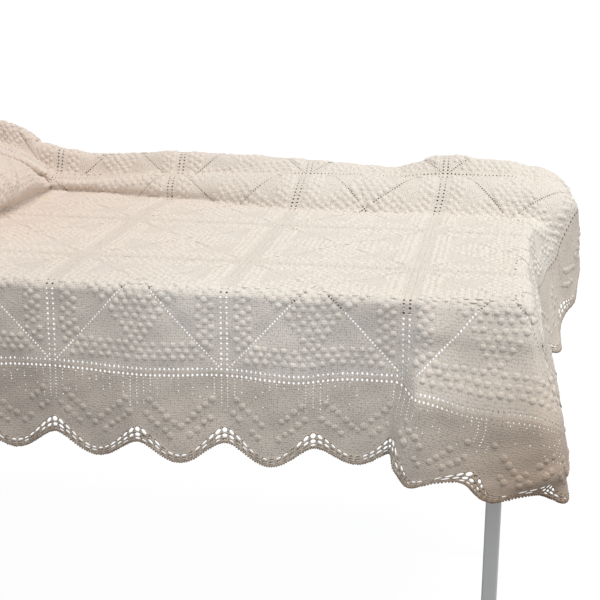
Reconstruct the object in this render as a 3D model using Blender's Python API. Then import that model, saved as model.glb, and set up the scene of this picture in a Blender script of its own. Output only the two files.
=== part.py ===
"""Crochet bedspread draped over a plain table.

The spread is a field of popcorn squares, a scalloped border and a lace edging, each a thin sheet of
its own. All three follow one drape: a rule that takes a place on the flat spread (u to the right,
v to the back, in metres) to its place in the room. The table's right front top corner is u = v = 0.

The drape is built from runs of known length, so the cloth keeps its size along each of them:
  ridge runs    front hem, front edge, flat top, two soft folds along the back, rear hem
  heap runs     from the right edge to the left, over the heap of slack at the left end
  end falls     past each end of the table, a rounded shoulder and then a straight fall
  corner        straight lines from the table's corner, turning like a cone
"""
import bmesh
import bpy
import math
import numpy as np

# Spread, flat
SQUARE = 0.275                  # side of one popcorn square
COLUMNS, ROWS = 6, 4
RIGHT_OVERHANG = 0.110          # field beyond the table's right edge
FRONT_OVERHANG = SQUARE / 2     # field beyond the table's front edge
SCALLOP = SQUARE / 2            # pitch of the scallops
BORDER_CUSP, BORDER_TIP = 0.086, 0.132   # depth of the border where two scallops meet, and at a tip
LACE_CUSP, LACE_TIP = 0.114, 0.146       # the same to the outer side of the lace edging
HEM_POWER, EDGE_POWER = 1.5, 1.7         # how round the notches are, in the border and in the lace
CLOTH = 0.0024                  # thickness
GAP = 0.0004                    # between the table's pieces, and between cloth and table
SEAM = 0.0008                   # half of the gap between one sheet and the next

U1, V0 = RIGHT_OVERHANG, -FRONT_OVERHANG
U0, V1 = U1 - COLUMNS * SQUARE, V0 + ROWS * SQUARE

# Table
TABLE_LENGTH, TABLE_DEPTH, TABLE_HEIGHT = 1.33, 0.75, 0.73
BOARD = 0.012
BOARD_ROUND = 0.004
LEG, LEG_ROUND = 0.026, 0.003
LEG_INSET_X, LEG_INSET_Y = 0.013, 0.150
RAIL_WIDE, RAIL_TALL = 0.016, 0.030

# Cloth against the table
STANDOFF = 0.012                # radius of the turn over the table's edges
LIFT = CLOTH / 2 + GAP          # middle of the cloth above the board
REAR_STANDOFF = 0.025
EDGE_ROOM, LEFT_ROOM = 0.006, 0.036   # the board stops this short of where the cloth turns down

# Folds along the back, a row for each section across the table
RIDGE = (
    # x, toe_y, tuck, nose_y, nose_z, crest1_y, crest1_z, dip_y, dip_z, crest2_y, crest2_z
    (-1.330, 0.655, 0.000, 0.003, 0.008, 0.695, 0.030, 0.715, 0.028, 0.745, 0.050),
    (-1.110, 0.650, 0.006, 0.004, 0.011, 0.690, 0.036, 0.712, 0.036, 0.745, 0.096),
    (-0.920, 0.640, 0.012, 0.006, 0.014, 0.680, 0.034, 0.705, 0.022, 0.745, 0.066),
    (-0.700, 0.600, 0.010, 0.008, 0.016, 0.650, 0.048, 0.680, 0.036, 0.728, 0.080),
    (-0.420, 0.540, 0.010, 0.016, 0.022, 0.610, 0.062, 0.650, 0.052, 0.705, 0.073),
    (-0.280, 0.540, 0.010, 0.018, 0.022, 0.610, 0.062, 0.650, 0.050, 0.702, 0.064),
    (-0.160, 0.550, 0.010, 0.020, 0.022, 0.618, 0.064, 0.650, 0.058, 0.702, 0.094),
    (-0.040, 0.555, 0.010, 0.020, 0.022, 0.630, 0.064, 0.660, 0.059, 0.705, 0.081),
    (0.000, 0.555, 0.010, 0.018, 0.020, 0.635, 0.060, 0.665, 0.054, 0.710, 0.071),
)
# Heap of slack at the left end, a row for each section from front to back
HEAP = (
    # v, foot_x, tuck, nose_z, crest_x, crest_z, heel_x
    (-0.28, -1.000, 0.004, 0.006, -1.100, 0.055, -1.215),
    (-0.05, -1.000, 0.006, 0.008, -1.100, 0.070, -1.215),
    (0.12, -0.985, 0.016, 0.024, -1.105, 0.092, -1.245),
    (0.30, -0.962, 0.022, 0.036, -1.112, 0.113, -1.258),
    (0.50, -0.950, 0.018, 0.036, -1.125, 0.108, -1.262),
    (0.65, -0.980, 0.008, 0.014, -1.165, 0.070, -1.268),
    (0.80, -1.045, 0.004, 0.006, -1.185, 0.046, -1.262),
    (0.95, -1.060, 0.004, 0.006, -1.170, 0.040, -1.245),
    (1.20, -1.060, 0.004, 0.006, -1.170, 0.034, -1.235),
)
# Headings of the cloth from the table's corner: turn from the front edge in degrees, and how far
# out the heading leans for each metre that it falls
CORNER = (
    # turn, out_x, out_y
    (40, -1.19, 0.00),
    (60, -0.577, -0.04),
    (76, -0.26, -0.10),
    (92, 0.03, -0.16),
    (110, 0.19, -0.16),
    (128, 0.17, 0.09),
    (146, 0.155, 0.25),
    (164, 0.20, 0.36),
    (190, 0.25, 0.53),
    (215, 0.28, 0.727),
)
SIDE_LEAN = 0.28                # lean of the hanging side next to the corner
CORNER_EASE = 40                # times the headings are averaged with their neighbours
# Crease down the front drop, past which the cloth stands forward and sags, a row for each depth
CREASE_U, CREASE_WIDTH, CREASE_SLANT = -0.172, 0.050, 0.08
CREASE_SLOW = (-0.182, -0.032)  # the slower start of its sag
CREASE_END, INWARD_END = (130, 185), (100, 130)   # turns round the corner over which it dies out
CREASE = (
    # depth, forward, inward, sag
    (0.00, 0.000, 0.000, 0.000),
    (0.05, 0.016, 0.003, 0.010),
    (0.14, 0.048, 0.014, 0.028),
    (0.20, 0.046, 0.030, 0.024),
    (0.28, 0.034, 0.074, 0.006),
    (0.40, 0.030, 0.074, 0.000),
)
# Fall past the ends of the table, a row for each place along the end: a rounded shoulder that
# reaches out and drops, then a straight fall that goes out so far for each metre down
RIGHT_END = (
    # v, shoulder, drop, out
    (-0.30, 0.012, 0.012, 0.28),
    (0.28, 0.012, 0.012, 0.28),
    (0.42, 0.013, 0.012, 0.18),
    (0.50, 0.020, 0.015, 0.30),
    (0.58, 0.055, 0.035, 0.22),
    (0.67, 0.095, 0.065, 0.08),
    (0.76, 0.090, 0.085, 0.04),
    (0.86, 0.080, 0.080, 0.04),
)
LEFT_END = (
    # v, shoulder, drop, out
    (-0.30, 0.012, 0.012, 0.22),
    (0.20, 0.012, 0.012, 0.22),
    (0.34, 0.014, 0.012, 0.40),
    (0.46, 0.014, 0.012, 0.18),
    (0.60, 0.030, 0.020, 0.36),
    (0.74, 0.055, 0.050, 0.20),
    (0.86, 0.070, 0.065, 0.08),
)
# Headings of the cloth from a rear corner of the table: turn from straight down the back to the
# end, and how far out the heading leans for each metre that it falls
REAR = (
    # turn, out_x, out_y
    (0, 0.00, 0.00),
    (15, 0.05, 0.20),
    (30, 0.11, 0.42),
    (45, 0.19, 0.55),
    (60, 0.15, 0.44),
    (75, 0.06, 0.21),
    (90, 0.00, 0.00),
)

# Soft waves of the front drop: how far forward for each metre of depth, length, and start
WAVES = (
    # swing, length, start
    (0.020, 0.410, -0.050),
    (0.012, 0.173, 0.030),
)
NOSE_LEAN = 30                  # how much a fold's nose leans back for each metre behind its toe
HEAP_LEAN, LOW_NOSE = 0.6, (0.030, 0.010)   # how much the heap's nose leans left where it is low
HANG = 0.04                     # how far the front drop hangs forward for each metre of depth
SAG = 0.005                     # sag of the front seam between two corners of its squares
REAR_SHIFT, REAR_SHIFT_V = 0.012, (0.52, 0.62)   # the cloth's shift to the right over the folds
TILT_FRONT, TILT_REAR = (-0.03, 0.03), (0.80, 0.94)   # where the heap turns over the table's edges

# Blend of the corner with its neighbours, easing from the first place to the second
BLEND_FRONT, BLEND_SIDE = (-0.34, -0.24), (0.03, 0.23)
EASE, EASE_REACH = 0.010, 0.025          # how far the turns at the corners are rounded off, and where

# Stations of the facets, closer where the cloth turns
U_SPANS = (
    # first, last, longest step
    (U0, -1.350, 0.024), (-1.350, -1.060, 0.042), (-1.060, U1 - 7.5 * SCALLOP, 0.020),
    (U1 - 7.5 * SCALLOP, U1 - 2 * SCALLOP, SCALLOP / 2), (U1 - 2 * SCALLOP, -0.018, 0.037),
    (-0.018, 0.022, 0.010), (0.022, U1, 0.030),
)
V_SPANS = (
    # first, last, longest step
    (V0, -0.022, 0.040), (-0.022, 0.018, 0.010), (0.018, 0.540, 0.075), (0.540, 0.700, 0.018),
    (0.700, V1, 0.024),
)
NEAR = 0.012                    # scallop stations nearer than this to another are left out
PROBE = 0.002                   # step for the cloth's own normal
RUN_STEPS = 20                  # points between two keys of a run
FAN = 8                         # stations round each corner of the rings


def smooth(t):
    """Ease from 0 to 1."""
    t = np.clip(t, 0.0, 1.0)
    return t * t * (3 - 2 * t)


def eased(place, span):
    """Ease from 0 at the first place of a span to 1 at its last."""
    return smooth((place - span[0]) / (span[1] - span[0]))


def row_at(table, place):
    """The row of a table at a place, eased from one row to the next."""
    rows = np.array(table)
    places = rows[:, 0]
    place = np.clip(place, places[0], places[-1])
    k = np.clip(np.searchsorted(places, place) - 1, 0, len(places) - 2)
    t = smooth((place - places[k]) / (places[k + 1] - places[k]))
    return rows[k] + (rows[k + 1] - rows[k]) * np.expand_dims(t, -1)


def hermite(t):
    """Weights of a cubic's first point, first slope, last point and last slope."""
    return 2 * t**3 - 3 * t**2 + 1, t**3 - 2 * t**2 + t, 3 * t**2 - 2 * t**3, t**3 - t**2


def curve_at(table, turn):
    """Smooth curve through the rows of a table, at turns held between its first and last."""
    rows = np.array(table, dtype=float)
    turn = np.clip(turn, rows[0, 0], rows[-1, 0])
    k = np.clip(np.searchsorted(rows[:, 0], turn) - 1, 0, len(rows) - 2)
    gap = (rows[k + 1, 0] - rows[k, 0])[..., None]
    a, b, c, d = (w[..., None] for w in hermite((turn - rows[k, 0]) / gap[..., 0]))
    slopes = np.gradient(rows[:, 1:], rows[:, 0], axis=0)
    return a * rows[k, 1:] + b * gap * slopes[k] + c * rows[k + 1, 1:] + d * gap * slopes[k + 1]


def unit(vectors):
    """Vectors made one long."""
    return vectors / np.linalg.norm(vectors, axis=-1)[..., None]


def leaning(out):
    """Unit headings that fall, and lean out in x and y for each metre of it."""
    return unit(np.concatenate([out, -np.ones_like(out[..., :1])], axis=-1))


def run(keys):
    """Smooth run through keys, each a point and the heading that the run has there."""
    a, b, c, d = (w[:, None] for w in hermite(np.linspace(0.0, 1.0, RUN_STEPS)[:-1]))
    pieces = []
    for (p, p_way), (q, q_way) in zip(keys, keys[1:]):
        p, p_way, q, q_way = (np.array(each, dtype=float) for each in (p, p_way, q, q_way))
        reach = np.linalg.norm(q - p)
        pieces.append(a * p + b * reach * p_way + c * q + d * reach * q_way)
    pieces.append(np.array([keys[-1][0]], dtype=float))
    return np.concatenate(pieces)


def lengths_along(points):
    """Length along a run at each of its points."""
    steps = np.linalg.norm(np.diff(points, axis=0), axis=1)
    return np.concatenate(([0.0], np.cumsum(steps)))


def at_lengths(points, along, wanted):
    """Points of a run at the wanted lengths."""
    return np.stack([np.interp(wanted, along, points[:, k]) for k in range(2)], axis=-1)


def ridge_keys(row):
    """Front hem, flat top, the two folds and the rear hem, as (y, z) keys."""
    _, toe, tuck, y_nose, nose, y1, z1, y_dip, z_dip, y2, z2 = row
    rear = TABLE_DEPTH + REAR_STANDOFF
    right, up, down = (1, 0), (0, 1), (0, -1)
    return [((-STANDOFF, -0.40), up), ((-STANDOFF, LIFT - STANDOFF), up), ((0.0, LIFT), right),
            ((toe, LIFT), right), ((toe + tuck, LIFT + 0.3 * nose), (0.25, 0.5)),
            ((toe + y_nose, LIFT + nose), (NOSE_LEAN * y_nose, 1)), ((y1, z1), right),
            ((y_dip, z_dip), right),
            ((y2, z2), right), ((rear, -0.04), down), ((rear, -0.60), down)]


def heap_keys(row):
    """From the right edge over the heap to the table's left edge, as (x, z) keys."""
    _, foot, tuck, nose, x_crest, z_crest, heel = row
    left = (-1, 0)
    lean = HEAP_LEAN * eased(nose, LOW_NOSE)
    return [((0, 0), left), ((foot, 0), left), ((foot - tuck, 0.3 * nose), (-0.25, 0.5)),
            ((foot - 0.003, nose), (-lean, 1 - lean)), ((x_crest, z_crest), left), ((heel, 0), left),
            ((-TABLE_LENGTH, 0), left)]


V_GRID = np.linspace(-0.31, 1.25, 590)
X_GRID = np.linspace(-TABLE_LENGTH - 0.05, 0.0, 90)
U_GRID = np.linspace(-2.0, 0.0, 700)


def ridge_grid():
    """(y, z) at each x and v, and the v of the last crest. v is 0 where the flat top begins."""
    grid, rear = [], []
    for x in X_GRID:
        points = run(ridge_keys(row_at(RIDGE, x)))
        along = lengths_along(points)
        front = along[np.argmin(np.hypot(points[:, 0], points[:, 1] - LIFT))]
        grid.append(at_lengths(points, along - front, V_GRID))
        rear.append(along[-1 - 2 * (RUN_STEPS - 1)] - front)
    return np.array(grid), np.array(rear)


def heap_grid():
    """(x, z) at each v and u, and the u at which the table's left edge is reached."""
    grid, edge = [], []
    for v in V_GRID:
        points = run(heap_keys(row_at(HEAP, v)))
        along = lengths_along(points)
        edge.append(-along[-1])
        points = np.vstack((points, points[-1] - (1.0, 0.0)))
        grid.append(at_lengths(points, np.append(along, along[-1] + 1.0), -U_GRID))
    return np.array(grid), np.array(edge)


RIDGE_GRID, LAST_CREST = ridge_grid()
HEAP_GRID, LEFT_EDGE = heap_grid()


def between(grid, rows, columns, row, column):
    """Values of a grid between its rows and columns."""
    i = np.clip(np.searchsorted(rows, row) - 1, 0, len(rows) - 2)
    j = np.clip(np.searchsorted(columns, column) - 1, 0, len(columns) - 2)
    a = np.clip((row - rows[i]) / (rows[i + 1] - rows[i]), 0, 1)[..., None]
    b = np.clip((column - columns[j]) / (columns[j + 1] - columns[j]), 0, 1)[..., None]
    return ((1 - a) * ((1 - b) * grid[i, j] + b * grid[i, j + 1])
            + a * ((1 - b) * grid[i + 1, j] + b * grid[i + 1, j + 1]))


def panel(u, v):
    """The cloth on the table and down its front and back."""
    u = np.minimum(u, 0.0)
    heap = between(HEAP_GRID, V_GRID, U_GRID, v, u)
    ridge = between(RIDGE_GRID, X_GRID, V_GRID, heap[..., 0], v)
    depth = np.clip(-v, 0, None)
    forward = HANG - sum(swing * np.sin(2 * np.pi * (u - start) / length) for swing, length, start in WAVES)
    hangs = np.clip(depth / FRONT_OVERHANG, 0, 1)
    sag = SAG * np.sin(np.pi * (u - U1) / SQUARE) ** 2 * hangs
    shift = REAR_SHIFT * eased(v, REAR_SHIFT_V)
    tilt = np.pi / 2 * (eased(v, TILT_REAR) + eased(v, TILT_FRONT) - 1)
    return np.stack([heap[..., 0] + shift,
                     ridge[..., 0] - forward * depth + heap[..., 1] * np.sin(tilt),
                     ridge[..., 1] + heap[..., 1] * np.cos(tilt) - sag], axis=-1)


def corner_headings():
    """Unit headings from the table's corner for turns of 0 to 270 degrees."""
    turns = np.linspace(0, 270, 541)
    angle = np.radians(turns)
    front = np.stack([-np.cos(angle), 0 * angle, -np.sin(angle)], axis=-1)
    rest = np.radians(270) - angle
    side = np.stack([0 * rest, np.cos(rest), 0 * rest], axis=-1)
    side += np.sin(rest)[:, None] * leaning(np.array([SIDE_LEAN, 0.0]))
    heading = np.where((turns <= CORNER[0][0])[:, None], front, leaning(curve_at(CORNER, turns)))
    heading = np.where((turns >= CORNER[-1][0])[:, None], side, heading)
    for _ in range(CORNER_EASE):
        heading[1:-1] = (heading[:-2] + 2 * heading[1:-1] + heading[2:]) / 4
    return turns, unit(heading)


CORNER_TURNS, CORNER_HEADINGS = corner_headings()


def corner(over, v, creased):
    """Cloth round a front corner of the table, over being how far it is past the table's end."""
    across, along = over - STANDOFF, v + STANDOFF
    turn = np.degrees(np.arctan2(-along, -across)) % 360
    turn = np.where(turn > 315, 0, np.minimum(turn, 270))
    heading = np.stack([np.interp(turn, CORNER_TURNS, CORNER_HEADINGS[:, k]) for k in range(3)], axis=-1)
    place = np.array([STANDOFF, -STANDOFF, LIFT]) + np.hypot(across, along)[..., None] * heading
    if not creased:
        return place
    depth = LIFT - place[..., 2]
    _, forward, inward, sag = np.moveaxis(row_at(CREASE, depth), -1, 0)
    crease = CREASE_U - CREASE_SLANT * depth
    sharp = eased(over, (crease, crease + CREASE_WIDTH)) * (1 - eased(turn, CREASE_END))
    slow = eased(over, CREASE_SLOW) * (1 - eased(turn, CREASE_END))
    inward = inward * (1 - eased(turn, INWARD_END))
    way = np.radians(np.clip(turn - 90, 0, 90))
    return place + np.stack([forward * sharp * np.sin(way) - inward * (0.4 * sharp + 0.6 * slow),
                             -forward * sharp * np.cos(way), -sag * (0.2 * sharp + 0.8 * slow)], axis=-1)


def end_fall(over, v, table):
    """How far the cloth has gone out, back and up, over past an end of the table."""
    _, shoulder, drop, out = np.moveaxis(row_at(table, v), -1, 0)
    over = np.clip(over, 0, None)
    x, z, used = np.zeros_like(over), np.zeros_like(over), np.zeros_like(over)
    turns = np.linspace(0, np.pi / 2, 13)
    for first, last in zip(turns, turns[1:]):
        dx = shoulder * (math.sin(last) - math.sin(first))
        dz = drop * (math.cos(last) - math.cos(first))
        step = np.hypot(dx, dz)
        share = np.clip((over - used) / step, 0, 1)
        x, z, used = x + share * dx, z + share * dz, used + step
    fall = np.clip(over - used, 0, None) / np.hypot(out, 1.0)
    return np.stack([x + fall * out, np.zeros_like(fall), z - fall], axis=-1)


def rear_corner(over, below, down_back, down_end):
    """Place from the rear end of the last crest: a flute between the cloth down the back and the
    cloth down the end, each given by its places at a reach."""
    turn = np.degrees(np.arctan2(over, below))
    heading = leaning(curve_at(REAR, turn))
    reach = np.hypot(over, below)
    plumb = np.stack([0 * reach, 0 * reach, -reach], axis=-1)
    share = smooth(turn / 90)[..., None]
    return reach[..., None] * heading - plumb + down_back(reach) * (1 - share) + down_end(reach) * share


def past_end(over, v, left):
    """The cloth past an end of the table, without its front corner."""
    x, table, way = (-TABLE_LENGTH, LEFT_END, -1.0) if left else (0.0, RIGHT_END, 1.0)
    crest = float(np.interp(x, X_GRID, LAST_CREST))

    def edge(v):
        return panel(np.interp(v, V_GRID, LEFT_EDGE) if left else np.zeros_like(v), v) * (way, 1.0, 1.0)

    def down_back(reach):
        return edge(crest + reach)

    def down_end(reach):
        return edge(np.full_like(reach, crest)) + end_fall(reach, np.full_like(reach, crest), table)

    over = np.clip(over, 0, None)
    side = edge(v) + end_fall(over, v, table)
    rear = rear_corner(over, np.clip(v - crest, 0, None), down_back, down_end)
    return np.where((v > crest)[..., None], rear, side) * (way, 1.0, 1.0)


def corner_share(over, v):
    """How much of a place is the corner's: 1 at the corner, 0 on the table and far along each edge."""
    front = np.where(over > STANDOFF, 1.0, eased(over, BLEND_FRONT))
    side = np.where(over > STANDOFF, 1 - eased(v, BLEND_SIDE), 0.0)
    return np.where(v < -STANDOFF, front, side)[..., None]


def hung(u, v):
    """The drape before its turns are eased."""
    place = panel(u, v)
    place = np.where((u > 0)[..., None], past_end(u, v, left=False), place)
    edge = np.interp(v, V_GRID, LEFT_EDGE)
    past = edge - u
    mirror = np.array([-1.0, 1.0, 1.0])
    place = np.where((past > 0)[..., None], past_end(past, v, left=True), place)
    share = corner_share(u, v)
    place = place * (1 - share) + share * corner(u, v, creased=True)
    share = corner_share(past, v)
    at_left = corner(past, v, creased=False) * mirror - (TABLE_LENGTH, 0, 0)
    return place * (1 - share) + share * at_left


def drape(u, v):
    """Middle of the cloth at a place on the flat spread, with the turns at the corners eased."""
    u, v = np.asarray(u, dtype=float), np.asarray(v, dtype=float)
    past_left = np.interp(v, V_GRID, LEFT_EDGE) - u
    at_end = np.minimum(np.abs(u - STANDOFF), np.abs(past_left - STANDOFF))
    across = EASE * smooth(1.6 - at_end / EASE_REACH) * (1 - eased(v, (0.3, 0.4)))
    along = EASE * smooth(1.6 - np.abs(v + STANDOFF) / EASE_REACH)
    along = along * eased(np.maximum(u, past_left), (-0.45, -0.25))
    total = np.zeros(u.shape + (3,))
    shifts = (-1, -0.5, 0, 0.5, 1)
    for a in shifts:
        for b in shifts:
            total += hung(u + a * across, v + b * along)
    return total / len(shifts) ** 2


def faces_of_cloth(u, v):
    """Upper and under face of the cloth at flat places."""
    middle = drape(u, v)
    along_u = drape(u + PROBE, v) - drape(u - PROBE, v)
    along_v = drape(u, v + PROBE) - drape(u, v - PROBE)
    normal = unit(np.cross(along_u, along_v))
    return middle + normal * CLOTH / 2, middle - normal * CLOTH / 2


def scallop(along, power):
    """0 where two scallops meet, 1 at a scallop's tip. A power of 1 leaves a sharp notch, and 2 a
    round one."""
    return np.abs(np.sin(np.pi * along / SCALLOP)) ** power


def spaced(spans):
    """Stations of the spans, each parted into equal steps no longer than its own."""
    places = [spans[0][0]]
    for first, last, step in spans:
        count = max(1, math.ceil((last - first) / step - 1e-6))
        places.extend(first + (last - first) * (k + 1) / count for k in range(count))
    return places


def with_scallops(places, start):
    """Stations of one side with the ends, quarters and tips of its scallops."""
    both = list(places)
    count = round((places[-1] - places[0]) / SCALLOP)
    for k in range(1, 4 * count):
        place = start + k * SCALLOP / 4
        needed = NEAR / 3 if k % 4 == 0 else NEAR
        if min(abs(place - other) for other in both) > needed:
            both.append(place)
    return sorted(both)


def ring_stations():
    """Stations round the field: flat (u, v) of the seam, way out, place along the scallops, and
    whether the field has the same station."""
    u_places = with_scallops(spaced(U_SPANS), U0)
    v_places = with_scallops(spaced(V_SPANS), V0)
    sides = (
        ((U0, V0), (1, 0), [u - U0 for u in u_places]),
        ((U1, V0), (0, 1), [v - V0 for v in v_places]),
        ((U1, V1), (-1, 0), [U1 - u for u in reversed(u_places)]),
        ((U0, V1), (0, -1), [V1 - v for v in reversed(v_places)]),
    )
    stations = []
    for (u, v), (du, dv), places in sides:
        out = (dv, -du)
        own = spaced(U_SPANS) if du else spaced(V_SPANS)
        for s in places:
            here = u + du * s if du else v + dv * s
            shared = min(abs(here - place) for place in own) < 1e-6
            stations.append((u + du * s, v + dv * s, out[0], out[1], s, shared))
        u, v = u + du * places[-1], v + dv * places[-1]
        for k in range(1, FAN):
            turn = math.pi / 2 * k / FAN
            way_u = out[0] * math.cos(turn) + du * math.sin(turn)
            way_v = out[1] * math.cos(turn) + dv * math.sin(turn)
            stations.append((u, v, way_u, way_v, SCALLOP * k / FAN, True))
    return np.array(stations).T


def solid(name, vertices, faces, material):
    """Object of one closed body with its faces pointing out."""
    mesh = bpy.data.meshes.new(name)
    mesh.from_pydata([tuple(p) for p in vertices], [], faces)
    shaped = bmesh.new()
    shaped.from_mesh(mesh)
    bmesh.ops.recalc_face_normals(shaped, faces=shaped.faces)
    shaped.to_mesh(mesh)
    shaped.free()
    mesh.shade_smooth()
    mesh.set_sharp_from_angle(angle=math.radians(50))
    mesh.materials.append(material)
    thing = bpy.data.objects.new(name, mesh)
    bpy.context.scene.collection.objects.link(thing)
    return thing


def straighten(points, along, shared):
    """Put the rows that the neighbour lacks on the straight lines between those that it has."""
    kept = np.flatnonzero(shared)
    for first, last in zip(kept, kept[1:]):
        for k in range(first + 1, last):
            t = (along[k] - along[first]) / (along[last] - along[first])
            points[k] = points[first] * (1 - t) + points[last] * t


def sheet(name, u, v, material, ring=False, seam=None):
    """Thin closed sheet over a grid of flat places. A ring's last row joins its first. seam gives
    the place along the first column, and which of its rows the neighbour shares."""
    upper, under = faces_of_cloth(u, v)
    if seam is not None:
        straighten(upper[:, 0], *seam)
        straighten(under[:, 0], *seam)
    rows, columns = u.shape
    count = rows * columns

    def at(i, j, low):
        return (i % rows) * columns + j + low * count

    faces = []
    for i in range(rows if ring else rows - 1):
        for j in range(columns - 1):
            faces.append((at(i, j, 0), at(i + 1, j, 0), at(i + 1, j + 1, 0), at(i, j + 1, 0)))
            faces.append((at(i, j, 1), at(i, j + 1, 1), at(i + 1, j + 1, 1), at(i + 1, j, 1)))
        for j in (0, columns - 1):
            faces.append((at(i, j, 0), at(i + 1, j, 0), at(i + 1, j, 1), at(i, j, 1)))
    if not ring:
        for i in (0, rows - 1):
            for j in range(columns - 1):
                faces.append((at(i, j, 0), at(i, j + 1, 0), at(i, j + 1, 1), at(i, j, 1)))
    vertices = np.concatenate([upper.reshape(-1, 3), under.reshape(-1, 3)])
    return solid(name, vertices, faces, material)


def field(material):
    """Sheet of squares."""
    u_places, v_places = spaced(U_SPANS), spaced(V_SPANS)
    u_places[0], u_places[-1] = U0 + SEAM, U1 - SEAM
    v_places[0], v_places[-1] = V0 + SEAM, V1 - SEAM
    u, v = np.meshgrid(u_places, v_places, indexing="ij")
    return sheet("field_of_squares", u, v, material)


def band(name, inner, outer, material, at_field=False):
    """Ring round the field between two depths, each a depth at a cusp, a depth at a tip and the
    power of its scallops."""
    u, v, out_u, out_v, along, shared = ring_stations()
    depths = [cusp + (tip - cusp) * scallop(along, power) for cusp, tip, power in (inner, outer)]
    flat_u = np.stack([u + out_u * d for d in depths], axis=-1)
    flat_v = np.stack([v + out_v * d for d in depths], axis=-1)
    seam = (along, shared) if at_field else None
    return sheet(name, flat_u, flat_v, material, ring=True, seam=seam)


def box(name, low, high, material, rounded=0.0):
    """Block between two corners, with rounded edges where asked."""
    shaped = bmesh.new()
    bmesh.ops.create_cube(shaped, size=1.0)
    size = np.subtract(high, low)
    middle = np.add(high, low) / 2
    for vertex in shaped.verts:
        vertex.co = [middle[k] + vertex.co[k] * size[k] for k in range(3)]
    if rounded:
        bmesh.ops.bevel(shaped, geom=shaped.edges[:], offset=rounded, segments=2, profile=0.5,
                        affect="EDGES")
    mesh = bpy.data.meshes.new(name)
    shaped.to_mesh(mesh)
    shaped.free()
    mesh.materials.append(material)
    thing = bpy.data.objects.new(name, mesh)
    bpy.context.scene.collection.objects.link(thing)
    return thing


def table(board, frame):
    """Plain table: board, four legs and four rails."""
    box("table_board", (-TABLE_LENGTH + LEFT_ROOM, EDGE_ROOM, -BOARD), (-EDGE_ROOM, TABLE_DEPTH, 0),
        board, BOARD_ROUND)
    leg_top = -BOARD - GAP
    xs = (-TABLE_LENGTH + LEFT_ROOM + LEG_INSET_X, -LEG_INSET_X - LEG)
    ys = (LEG_INSET_Y, TABLE_DEPTH - LEG_INSET_Y - LEG)
    for x, end in zip(xs, ("left", "right")):
        for y, side in zip(ys, ("front", "rear")):
            box(f"table_leg_{end}_{side}", (x, y, -TABLE_HEIGHT), (x + LEG, y + LEG, leg_top), frame,
                LEG_ROUND)
    inset = (LEG - RAIL_WIDE) / 2
    for y, side in zip(ys, ("front", "rear")):
        box(f"table_rail_{side}", (xs[0] + LEG + GAP, y + inset, leg_top - RAIL_TALL),
            (xs[1] - GAP, y + inset + RAIL_WIDE, leg_top), frame)
    for x, end in zip(xs, ("left", "right")):
        box(f"table_rail_{end}", (x + inset, ys[0] + LEG + GAP, leg_top - RAIL_TALL),
            (x + inset + RAIL_WIDE, ys[1] - GAP, leg_top), frame)


def finish(name, colour, roughness):
    """Plain material."""
    material = bpy.data.materials.new(name)
    material.use_nodes = True
    shader = material.node_tree.nodes["Principled BSDF"]
    shader.inputs["Base Color"].default_value = (*colour, 1.0)
    shader.inputs["Roughness"].default_value = roughness
    shader.inputs["Metallic"].default_value = 0.0
    return material


def stand_on_floor():
    """Move everything so that the middle of its box stands at the origin."""
    things = [thing for thing in bpy.context.scene.objects if thing.type == "MESH"]
    points = np.array([tuple(vertex.co) for thing in things for vertex in thing.data.vertices])
    low, high = points.min(axis=0), points.max(axis=0)
    shift = (-(low[0] + high[0]) / 2, -(low[1] + high[1]) / 2, -low[2])
    for thing in things:
        for vertex in thing.data.vertices:
            vertex.co = [vertex.co[k] + shift[k] for k in range(3)]


def main():
    for thing in list(bpy.data.objects):
        bpy.data.objects.remove(thing, do_unlink=True)
    field(finish("ivory_cotton_squares", (0.83, 0.77, 0.69), 0.9))
    band("scalloped_border", (SEAM, SEAM, HEM_POWER), (BORDER_CUSP, BORDER_TIP, HEM_POWER),
         finish("ivory_cotton_border", (0.80, 0.74, 0.66), 0.9), at_field=True)
    band("lace_edging", (BORDER_CUSP + 2 * SEAM, BORDER_TIP + 2 * SEAM, HEM_POWER),
         (LACE_CUSP, LACE_TIP, EDGE_POWER),
         finish("ivory_cotton_lace", (0.82, 0.76, 0.68), 0.9))
    table(finish("pine_board", (0.62, 0.44, 0.26), 0.55),
          finish("white_painted_frame", (0.85, 0.85, 0.84), 0.45))
    stand_on_floor()


main()
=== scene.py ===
"""Looks of a crochet bedspread draped over a plain table.

Each piece of cloth is made flat, as places (u to the right, v to the back) and heights, and the
drape lays it over the table by the rule of the CAD solids. The table's right front top corner is
u = v = 0, and "the table's corner" below. Metres and degrees throughout.
"""
import bpy
import math
import numpy as np
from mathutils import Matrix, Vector


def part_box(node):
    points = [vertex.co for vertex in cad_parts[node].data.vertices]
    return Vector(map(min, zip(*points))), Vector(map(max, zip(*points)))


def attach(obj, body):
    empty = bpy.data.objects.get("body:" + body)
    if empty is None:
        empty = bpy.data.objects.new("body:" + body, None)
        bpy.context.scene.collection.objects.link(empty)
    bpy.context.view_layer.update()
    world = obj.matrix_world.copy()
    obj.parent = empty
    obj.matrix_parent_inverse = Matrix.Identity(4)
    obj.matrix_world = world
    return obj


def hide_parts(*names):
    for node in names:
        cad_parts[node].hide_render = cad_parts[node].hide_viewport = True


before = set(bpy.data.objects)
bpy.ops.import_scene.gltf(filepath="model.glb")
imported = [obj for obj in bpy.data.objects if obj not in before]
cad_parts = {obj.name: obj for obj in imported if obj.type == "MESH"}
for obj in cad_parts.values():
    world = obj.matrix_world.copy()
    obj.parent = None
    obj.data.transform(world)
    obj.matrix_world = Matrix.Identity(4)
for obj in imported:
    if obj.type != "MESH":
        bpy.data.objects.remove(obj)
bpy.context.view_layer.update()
join = np.concatenate

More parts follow.
